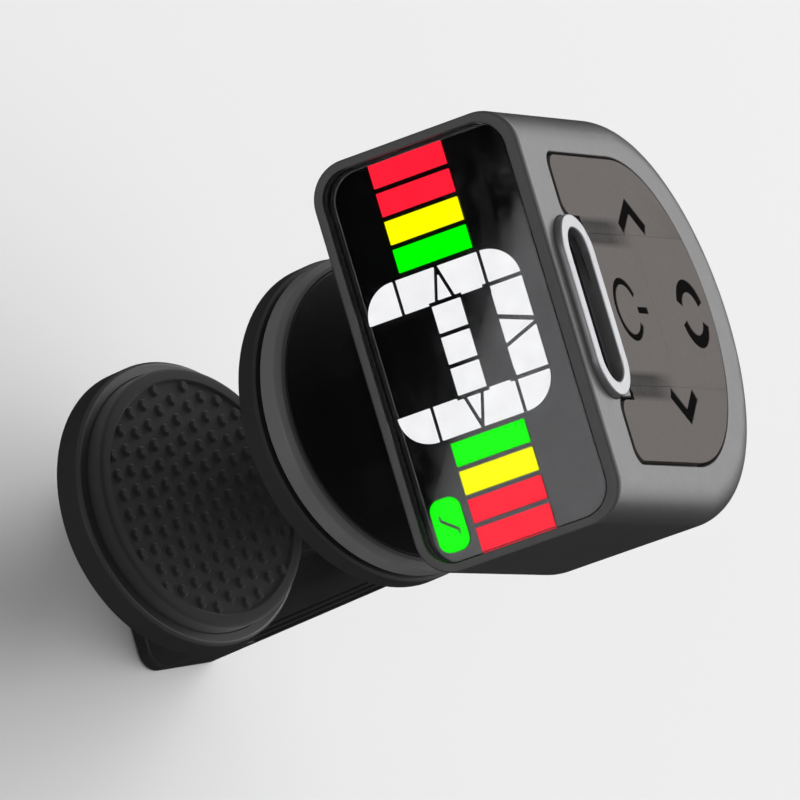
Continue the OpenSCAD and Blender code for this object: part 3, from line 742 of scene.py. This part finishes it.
def stud_tree(material):
    """Round-topped grip studs on a triangular grid inside a circle, pointing down from z = 0."""
    shape = Shape("studs", Count=15, Pitch=0.00125, Reach=0.008, Stud=0.0004, Rise=0.0002)
    pitch, count = shape.input("Pitch"), shape.input("Count")
    side = shape.math("MULTIPLY", pitch, count)
    grid = shape.add("GeometryNodeMeshGrid", None,
                     {"Size X": side, "Size Y": side, "Vertices X": count, "Vertices Y": count})
    place = shape.add("GeometryNodeInputPosition")
    along = shape.add("ShaderNodeSeparateXYZ", None, {0: place}, output=1)
    odd_row = shape.math("PINGPONG", shape.math("DIVIDE", along, pitch), 1.0)
    half_step = shape.math("MULTIPLY", shape.math("MULTIPLY", odd_row, pitch), 0.5)
    sideways = shape.add("ShaderNodeCombineXYZ", None, {0: half_step})
    grid = shape.add("GeometryNodeSetPosition", None, {"Geometry": grid, "Offset": sideways})
    away = shape.add("ShaderNodeVectorMath", {"operation": "LENGTH"}, {0: place}, output=1)
    outside = shape.math("GREATER_THAN", away, shape.input("Reach"))
    points = shape.add("GeometryNodeMeshToPoints", None, {"Mesh": grid})
    kept = shape.add("GeometryNodeDeleteGeometry", {"domain": "POINT"}, {"Geometry": points, "Selection": outside})
    top = shape.math("MULTIPLY", shape.input("Stud"), 0.6)
    stud = shape.add("GeometryNodeMeshCone", None, {
        "Vertices": 14, "Side Segments": 1, "Radius Top": top, "Radius Bottom": shape.input("Stud"),
        "Depth": shape.input("Rise")})
    flip = shape.add("GeometryNodeTransform", None, {"Geometry": stud, "Rotation": (math.pi, 0, 0)})
    placed = shape.add("GeometryNodeInstanceOnPoints", None, {"Points": kept, "Instance": flip})
    return shape.finish(placed, material)


def rib_tree(material):
    """A row of round ribs along X, one behind another along Y, centred on the origin's plane."""
    shape = Shape("ribs", Count=5, Pitch=0.0011, Radius=0.0003, Length=0.006)
    bar = shape.add("GeometryNodeMeshCylinder", None, {
        "Vertices": 20, "Side Segments": 1, "Radius": shape.input("Radius"), "Depth": shape.input("Length")})
    lying = shape.add("GeometryNodeTransform", None, {"Geometry": bar, "Rotation": (0, math.pi / 2, 0)})
    return shape.finish(shape.row(lying, 1), material)


def contact_tree(material):
    """A row of flat contact strips along X, centred on the origin."""
    shape = Shape("contacts", Count=12, Pitch=0.0005, Width=0.00025, Length=0.0028, Thickness=0.00005)
    size = shape.add("ShaderNodeCombineXYZ", None,
                     {0: shape.input("Width"), 1: shape.input("Thickness"), 2: shape.input("Length")})
    strip = shape.add("GeometryNodeMeshCube", None, {"Size": size})
    return shape.finish(shape.row(strip, 0), material)


# ---------- operators: one for each group of pieces ----------

class TunerOperator(bpy.types.Operator):
    """What the operators have in common"""
    bl_options = {"REGISTER", "UNDO"}


class TUNER_OT_casing(TunerOperator):
    """Makes the head's casing, base plate and base screws"""
    bl_idname = "tuner.casing"
    bl_label = "Casing"

    def execute(self, context):
        edges = context.scene.tuner.edges
        low, high = head_box("head_shell")
        middle = (low.z + high.z) / 2
        bend = 2.4 * MM
        seat_share, top_share = 0.3, 2.4

        def width(point):
            """Wide along the top of the display side, narrow round the window's seat."""
            place = TO_HEAD @ point
            if place.y > low.y + 0.2 * MM:
                outside = place.z > high.z - 0.2 * MM or place.z < low.z + 0.1 * MM
                return edges.casing * outside
            x = abs(place.x) - high.x + bend
            z = abs(place.z - middle) - (high.z - middle) + bend
            inset = bend - math.hypot(max(x, 0), max(z, 0)) - min(max(x, z), 0)
            rise = max(0.0, min(1.0, 1 + (place.z - high.z) / bend))
            return edges.casing * (seat_share if inset > 0.2 * MM else 1 + (top_share - 1) * rise)

        soft_edged("head_shell", width)
        soft_edged("base_plate", edges.fine * 2)
        soft_edged("base_screws", edges.fine, segments=2)
        return {"FINISHED"}


class TUNER_OT_display(TunerOperator):
    """Makes the display: window, mask and lit segments"""
    bl_idname = "tuner.display"
    bl_label = "Display"

    def execute(self, context):
        edges = context.scene.tuner.edges
        soft_edged("display_window", edges.fine)
        paint_nodes("display_mask", "display_panel", "letter_segments", "red_bars", "yellow_bars",
                    "green_bars", "status_mark")
        return {"FINISHED"}


class TUNER_OT_keypad(TunerOperator):
    """Makes the rubber keys with their sunk marks"""
    bl_idname = "tuner.keypad"
    bl_label = "Keypad"

    def execute(self, context):
        edges, marks = context.scene.tuner.edges, context.scene.tuner.marks
        outlines = self.mark_outlines(marks)
        grooves = self.groove_tools(marks)
        for node in ("key_left", "key_right", "key_power", "key_mode"):
            top = head_box(node)[1].z
            tool = prism(outlines[node], top - marks.depth, top + 1 * MM, HEAD)
            cutters = [tool] + ([] if node == "key_mode" else grooves)
            shell = one_skin(NODES[node].data)
            self.close_seams(shell, node, marks.seam)
            soft_edged(node, edges.keys, self.outer_edge(node, top), cutters, shell=shell)
            self.fill_mark(node, outlines[node], top, marks)
        return {"FINISHED"}

    def seams(self, node):
        """The seams of a key with its neighbours: axis, place and the way to the neighbour."""
        low, high = head_box(node)
        if node == "key_left":
            return [(0, high.x, 1)]
        if node == "key_right":
            return [(0, low.x, -1)]
        across = (1, high.y, 1) if node == "key_power" else (1, low.y, -1)
        return [(0, low.x, -1), (0, high.x, 1), across]

    def close_seams(self, shell, node, seam):
        """Widens a key's copy to its seams, so that the keypad looks like one skin."""
        gap = head_box("key_mode")[0].y - head_box("key_power")[1].y
        shift = (gap - seam) / 2
        for vertex in shell.verts:
            place = TO_HEAD @ vertex.co
            for axis, edge, way in self.seams(node):
                if abs(place[axis] - edge) < 0.02 * MM:
                    place[axis] += way * shift
            vertex.co = HEAD @ place

    def outer_edge(self, node, top):
        """A test for the edges of the key's top face that aren't on a seam."""
        seams = self.seams(node)

        def test(point):
            place = TO_HEAD @ point
            on_seam = any(abs(place[axis] - edge) < 0.06 * MM for axis, edge, way in seams)
            return place.z > top - 0.01 * MM and not on_seam
        return test

    def mark_outlines(self, marks):
        """Outlines of the marks in the head's plan, by key."""
        side = head_box("key_right")
        back = head_box("key_mode")
        front = head_box("key_power")
        arrow_x, arrow_y = side[0].x + ARROW_OFF_SEAM, back[0].y + ARROW_BEHIND
        span, depth = marks.arrow_span / 2, marks.arrow_depth
        arrow = {}
        for node, way in (("key_left", -1), ("key_right", 1)):
            tail, tip = way * arrow_x, way * (arrow_x + depth)
            arrow[node] = [stroke_outline([(tail, arrow_y + span), (tip, arrow_y), (tail, arrow_y - span)],
                                          marks.stroke)]
        centre = (0, back[0].y + RING_BEHIND)
        halves = [stroke_outline(arc_points(centre, marks.ring, start, start + 140), marks.stroke)
                  for start in (110, -70)]
        power_at = (0, front[1].y - POWER_AHEAD)
        thin = marks.stroke * 0.5
        ring = stroke_outline(arc_points(power_at, marks.ring, 120, 420, 32), thin)
        tick = stroke_outline([(0, power_at[1] + 0.9 * marks.ring), (0, power_at[1] + 1.8 * marks.ring)], thin)
        return {**arrow, "key_mode": halves, "key_power": [ring, tick]}

    def groove_tools(self, marks):
        """Two long egg shapes that scoop a groove with fading ends along the keys' seams, behind the port."""
        side = head_box("key_right")
        start = head_box("key_power")[0].y
        tall = 1 * MM
        reach = math.sqrt(1 - (1 - marks.groove_depth / tall) ** 2)
        size = Matrix.Diagonal((marks.groove / 2 / reach, marks.groove_length / 2 / reach, tall, 1))
        tools = []
        for way in (-1, 1):
            place = Matrix.Translation((way * (side[0].x - 0.02 * MM), start + 0.3 * marks.groove_length,
                                        side[1].z + tall - marks.groove_depth))
            shell = bmesh.new()
            bmesh.ops.create_uvsphere(shell, u_segments=72, v_segments=48, radius=1.0, matrix=HEAD @ place @ size)
            tools.append(mesh_of(shell, "groove"))
        return tools

    def fill_mark(self, node, outlines, top, marks):
        """The black fill at the bottom of a sunk mark."""
        fill = new_piece(node + "_mark", prism(outlines, top - marks.depth, top - marks.fill, HEAD))
        paint(fill, mark_black())
        smooth_piece(fill)
        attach(fill, BODIES[node])


class TUNER_OT_charging_port(TunerOperator):
    """Makes the charging port: trim ring, shell, tongue and contacts"""
    bl_idname = "tuner.charging_port"
    bl_label = "Charging port"

    def execute(self, context):
        edges = context.scene.tuner.edges
        soft_edged("port_trim", edges.metal, sharpest=60)
        soft_edged("usb_shell", edges.fine, sharpest=60, segments=2)
        paint_nodes("usb_tongue")
        low, high = head_box("usb_tongue")
        rows = contact_tree(metal("contact_gold", (0.83, 0.60, 0.25), 0.22))
        strip_length = 0.55 * (high.z - low.z)
        for name, side in (("contacts_front", low.y), ("contacts_back", high.y)):
            pitch = (high.x - low.x) / 13
            row = rows.piece(name, Pitch=pitch, Width=pitch / 2, Length=strip_length)
            row.data.transform(HEAD @ Matrix.Translation((-5.5 * pitch, side, high.z - 0.6 * strip_length)))
            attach(row, BODIES["usb_tongue"])
        return {"FINISHED"}


class TUNER_OT_swivel(TunerOperator):
    """Makes the swivel disc, its cover, the hinge and what holds them"""
    bl_idname = "tuner.swivel"
    bl_label = "Swivel and hinge"

    def execute(self, context):
        edges = context.scene.tuner.edges
        soft_edged("turntable", edges.clamp)
        soft_edged("turntable_cover", edges.fine * 2)
        soft_edged("hinge_pin", edges.fine * 3)
        soft_edged("hinge_washers", edges.fine, segments=2)
        for node in ("swivel_post", "swivel_screw", "spring_washer", "friction_ring"):
            soft_edged(node, edges.fine, segments=2)
        return {"FINISHED"}


class TUNER_OT_clamp(TunerOperator):
    """Makes the clamp's frame, cover, cap, screws, rod and rear jaw"""
    bl_idname = "tuner.clamp"
    bl_label = "Clamp"

    def execute(self, context):
        edges, grips = context.scene.tuner.edges, context.scene.tuner.grips
        soft_edged("clamp_frame", edges.clamp, cutters=self.post_grooves(grips))
        soft_edged("post_cover", edges.fine * 2)
        soft_edged("cover_screws", edges.fine, segments=2)
        soft_edged("end_cap", edges.clamp)
        soft_edged("guide_rod", edges.fine * 2)
        soft_edged("rear_jaw", edges.clamp)
        self.thumb_ribs(grips)
        return {"FINISHED"}

    def post_grooves(self, grips):
        """Bars that cut three upright grip grooves into each side of the post."""
        low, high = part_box("end_cap")
        bottom, top = high.z + 3.5 * MM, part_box("rear_pad")[1].z + 4 * MM
        tools = []
        for side in (-1, 1):
            inner, outer = side * (high.x - grips.depth), side * (high.x + 1 * MM)
            for place in (-1, 0, 1):
                middle = (low.y + high.y) / 2 + place * grips.spacing
                near, far = middle - grips.groove / 2, middle + grips.groove / 2
                tools.append(prism([[(inner, near), (outer, near), (outer, far), (inner, far)]], bottom, top))
        return tools

    def thumb_ribs(self, grips):
        """Ribs under the rear jaw's disc, for the thumb that pulls it down."""
        disc_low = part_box("rear_pad")[0].z + PAD_SEAT - JAW_DISC
        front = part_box("rear_jaw")[0].y
        ribs = rib_tree(finish_of("casing_black")).piece(
            "thumb_ribs", Pitch=grips.rib_pitch, Radius=grips.rib, Length=grips.rib_length)
        ribs.data.transform(Matrix.Translation((0, front + 2 * MM, disc_low)))
        smooth_piece(ribs, 40)
        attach(ribs, "rear_jaw")


class TUNER_OT_pads(TunerOperator):
    """Makes the two rubber pads with their grip studs"""
    bl_idname = "tuner.pads"
    bl_label = "Pads"

    def execute(self, context):
        pads = context.scene.tuner.pads
        studs = stud_tree(finish_of("rubber"))
        for node, way in (("front_pad", 1), ("rear_pad", -1)):
            low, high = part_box(node)
            radius = (high.x - low.x) / 2
            rim = 0.5 * MM
            count = 2 * int(radius / pads.pitch) + 3
            row = studs.piece(node + "_studs", Count=count, Pitch=pads.pitch * (count - 1) / count,
                              Reach=radius - rim - pads.stud, Stud=pads.stud, Rise=pads.rise)
            self.body(node, radius, low.z, high.z, pads, way)
            level = low.z + pads.rise if way > 0 else high.z - pads.rise
            turn = Matrix.Identity(4) if way > 0 else Matrix.Rotation(math.pi, 4, "X")
            row.data.transform(Matrix.Translation((0, 0, level)) @ turn)
            smooth_piece(row, 40)
            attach(row, BODIES[node])
        return {"FINISHED"}

    def body(self, node, radius, low, high, pads, way):
        """The pad's disc: a raised rim round a sunk floor that the studs stand on."""
        face, back = (low, high) if way > 0 else (high, low)
        floor = face + way * pads.rise
        inner = radius - 0.75 * MM
        bend = 0.25 * MM
        outline = [(0, floor), (inner - 0.15 * MM, floor), (inner, face), (radius - bend, face)]
        outline += [(radius - bend + bend * math.sin(a), face + way * (bend - bend * math.cos(a)))
                    for a in (math.radians(30), math.radians(60), math.radians(90))]
        outline += [(radius, back), (0, back)]
        shell = bmesh.new()
        verts = [shell.verts.new((x, 0, z)) for x, z in outline]
        edges = [shell.edges.new(pair) for pair in zip(verts, verts[1:])]
        bmesh.ops.spin(shell, geom=verts + edges, cent=(0, 0, 0), axis=(0, 0, 1), angle=2 * math.pi, steps=96)
        bmesh.ops.remove_doubles(shell, verts=shell.verts, dist=0.001 * MM)
        bmesh.ops.recalc_face_normals(shell, faces=shell.faces)
        pad = new_piece(node + "_rubber", mesh_of(shell, node + "_rubber"))
        stands_for(pad, node, 40)


class TUNER_OT_spring(TunerOperator):
    """Makes the jaw spring, which stretches between the clamp and the rear jaw"""
    bl_idname = "tuner.spring"
    bl_label = "Jaw spring"

    def execute(self, context):
        spring = context.scene.tuner.spring
        low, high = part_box("jaw_spring")
        wire = spring.wire
        radius = (high.x - low.x) / 2 - wire
        centre = (low + high) / 2
        coil = coil_tree(finish_of("spring_steel")).piece(
            "jaw_spring_coil", Turns=spring.turns, Radius=radius, Height=high.z - low.z - 2 * wire,
            Wire=wire)
        coil.data.transform(Matrix.Translation((centre.x, centre.y, low.z + wire)))
        smooth_piece(coil)
        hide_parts("jaw_spring")
        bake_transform(coil)
        return {"FINISHED"}


class TUNER_OT_electronics(TunerOperator):
    """Finishes the pieces sealed inside the head"""
    bl_idname = "tuner.electronics"
    bl_label = "Electronics"

    def execute(self, context):
        edges = context.scene.tuner.edges
        for node in ("tact_switches", "board_chips", "board_screws", "battery", "piezo_disc", "piezo_ceramic"):
            soft_edged(node, edges.fine, segments=2)
        paint_nodes("main_board")
        return {"FINISHED"}


class TUNER_OT_stage(TunerOperator):
    """Makes the floor, the soft lights and the camera"""
    bl_idname = "tuner.stage"
    bl_label = "Stage"

    def execute(self, context):
        stage = context.scene.tuner.stage
        self.floor()
        self.dark_reflection()
        self.surroundings(stage)
        self.lights(stage)
        camera = self.camera(stage)
        self.glare(stage, camera)
        bpy.context.scene.view_settings.view_transform = "Standard"
        return {"FINISHED"}

    def floor(self):
        shell = bmesh.new()
        bmesh.ops.create_grid(shell, x_segments=8, y_segments=8, size=4.0)
        shell.transform(Matrix.Translation((0, 0, CAD_LOW.z)))
        floor = new_piece("floor", mesh_of(shell, "floor"))
        finish = Finish("floor_pale", roughness=0.7)
        finish.set("Base Color", finish.mix(finish.noise(0.4, 2), (0.78, 0.78, 0.78), (0.80, 0.80, 0.80)))
        paint(floor, finish.material)

    def surroundings(self, stage):
        world = bpy.data.worlds.new("studio")
        world.use_nodes = True
        background = world.node_tree.nodes["Background"]
        background.inputs["Color"].default_value = (1, 1, 1, 1)
        background.inputs["Strength"].default_value = stage.ambient
        bpy.context.scene.world = world

    def lights(self, stage):
        self.panel("overhead", (0.05, 0.35, 1.5), (0, 0, 0), (1.5, 1.5), stage.overhead)
        self.panel("back_light", (-0.15, 1.3, 0.42), (0, 0, 0.02), (2.0, 0.9), stage.backlight)

    def panel(self, name, at, towards, size, radiance):
        """A flat soft light that the camera doesn't see."""
        data = bpy.data.lights.new(name, "AREA")
        data.shape = "RECTANGLE"
        data.size, data.size_y = size
        data.energy = radiance * math.pi * size[0] * size[1]
        light = new_piece(name, data)
        light.location = at
        light.rotation_mode = "QUATERNION"
        light.rotation_quaternion = (Vector(towards) - Vector(at)).to_track_quat("-Z", "Y")
        light.visible_camera = False

    def card(self, name, shell):
        """A dark card that the camera doesn't see."""
        card = new_piece(name, mesh_of(shell, name))
        finish = Finish(name + "_black", roughness=1.0, specular_ior_level=0.0)
        finish.set("Base Color", finish.mix(finish.noise(0.1), (0.010, 0.010, 0.010), (0.014, 0.014, 0.014)))
        paint(card, finish.material)
        card.visible_camera = False
        return card

    def dark_reflection(self):
        """A dark card over the floor that only glossy faces mirror, so that the head's sides turn dark."""
        shell = bmesh.new()
        bmesh.ops.create_grid(shell, x_segments=1, y_segments=1, size=0.4)
        shell.transform(Matrix.Translation((0, 0, CAD_LOW.z + 0.2 * MM)))
        card = self.card("reflection_card", shell)
        card.visible_shadow = card.visible_diffuse = card.visible_transmission = False

    def camera(self, stage):
        """Camera on its direction from the tuner, rolled, with the tuner centred in the frame."""
        data = bpy.data.cameras.new("camera")
        camera = new_piece("camera", data)
        bpy.context.scene.camera = camera
        centre = (CAD_LOW + CAD_HIGH) / 2
        level = math.cos(stage.elevation)
        back = Vector((math.sin(stage.azimuth) * level, -math.cos(stage.azimuth) * level, math.sin(stage.elevation)))
        flat_right = Vector((0, 0, 1)).cross(back).normalized()
        flat_up = back.cross(flat_right)
        right = math.cos(stage.roll) * flat_right + math.sin(stage.roll) * flat_up
        up = back.cross(right)
        corners = [vertex.co for node in NODES.values() for vertex in node.data.vertices]
        across = [(c - centre).dot(right) for c in corners]
        along = [(c - centre).dot(up) for c in corners]
        middle = centre + right * (max(across) + min(across)) / 2 + up * (max(along) + min(along)) / 2
        spread = max(max(across) - min(across), max(along) - min(along))
        camera.location = middle + back * stage.distance
        camera.rotation_mode = "QUATERNION"
        camera.rotation_quaternion = Matrix((right, up, back)).transposed().to_quaternion()
        data.sensor_width = 36
        data.lens = data.sensor_width * stage.distance * stage.fill / spread
        data.clip_start, data.clip_end = 0.01, 20
        bpy.context.view_layer.update()
        return camera

    def glare(self, stage, camera):
        """A dark card before the display, and a light beyond it that the window mirrors past the card's edge.

        The edge is mirrored from 5 mm inside the window's left side, at its top, to 2.4 mm inside its right
        side, at its foot.
        """
        low, high = head_box("display_window")
        first = HEAD @ Vector((low.x + 5.0 * MM, low.y, high.z - 0.3 * MM))
        second = HEAD @ Vector((high.x - 2.4 * MM, low.y, low.z + 0.3 * MM))
        normal = (HEAD.to_3x3() @ Vector((0, -1, 0))).normalized()
        mirrored = camera.location - 2 * (camera.location - first).dot(normal) * normal
        reach, card_half, card_width = 0.55, 0.25, 0.3
        beyond, aside, light_size = 0.5, 0.12, (0.4, 0.34)
        ends = [point + (point - mirrored).normalized() * reach for point in (first, second)]
        edge = (ends[1] - ends[0]).normalized()
        heading = ((first + second) / 2 - mirrored).normalized()
        shadow_side = edge.cross(heading).normalized()
        if shadow_side.z > 0:
            shadow_side = -shadow_side
        middle = (ends[0] + ends[1]) / 2
        left, right, outwards = middle - edge * card_half, middle + edge * card_half, shadow_side * card_width
        shell = bmesh.new()
        shell.faces.new([shell.verts.new(corner) for corner in (left, right, right + outwards, left + outwards)])
        self.card("dark_card", shell)
        far = middle + heading * beyond - shadow_side * aside
        self.panel("glare_light", far, (first + second) / 2, light_size, stage.glare)


class TUNER_PT_panel(bpy.types.Panel):
    """Lists the tuner's sizes, colours and pieces"""
    bl_idname = "TUNER_PT_panel"
    bl_label = "Tuner"
    bl_space_type = "VIEW_3D"
    bl_region_type = "UI"
    bl_category = "Tuner"

    def draw(self, context):
        settings = context.scene.tuner
        for group in ("edges", "marks", "pads", "grips", "spring", "colours", "stage"):
            box = self.layout.box()
            box.label(text=group.title())
            values = getattr(settings, group)
            for name in values.__annotations__:
                box.prop(values, name)
        for operator in OPERATORS:
            self.layout.operator(operator.bl_idname)


OPERATORS = (TUNER_OT_casing, TUNER_OT_display, TUNER_OT_keypad, TUNER_OT_charging_port, TUNER_OT_swivel,
             TUNER_OT_clamp, TUNER_OT_pads, TUNER_OT_spring, TUNER_OT_electronics, TUNER_OT_stage)
GROUPS = (TunerEdges, TunerMarks, TunerPads, TunerGrips, TunerSpring, TunerColours, TunerStage, TunerSettings)


def register():
    for kind in (*GROUPS, *OPERATORS, TUNER_PT_panel):
        bpy.utils.register_class(kind)
    bpy.types.Scene.tuner = PointerProperty(type=TunerSettings)


def unregister():
    del bpy.types.Scene.tuner
    for kind in reversed((*GROUPS, *OPERATORS, TUNER_PT_panel)):
        bpy.utils.unregister_class(kind)


def main():
    register()
    bpy.ops.tuner.casing()
    bpy.ops.tuner.display()
    bpy.ops.tuner.keypad()
    bpy.ops.tuner.charging_port()
    bpy.ops.tuner.swivel()
    bpy.ops.tuner.clamp()
    bpy.ops.tuner.pads()
    bpy.ops.tuner.spring()
    bpy.ops.tuner.electronics()
    bpy.ops.tuner.stage()


if __name__ == "__main__":
    main()
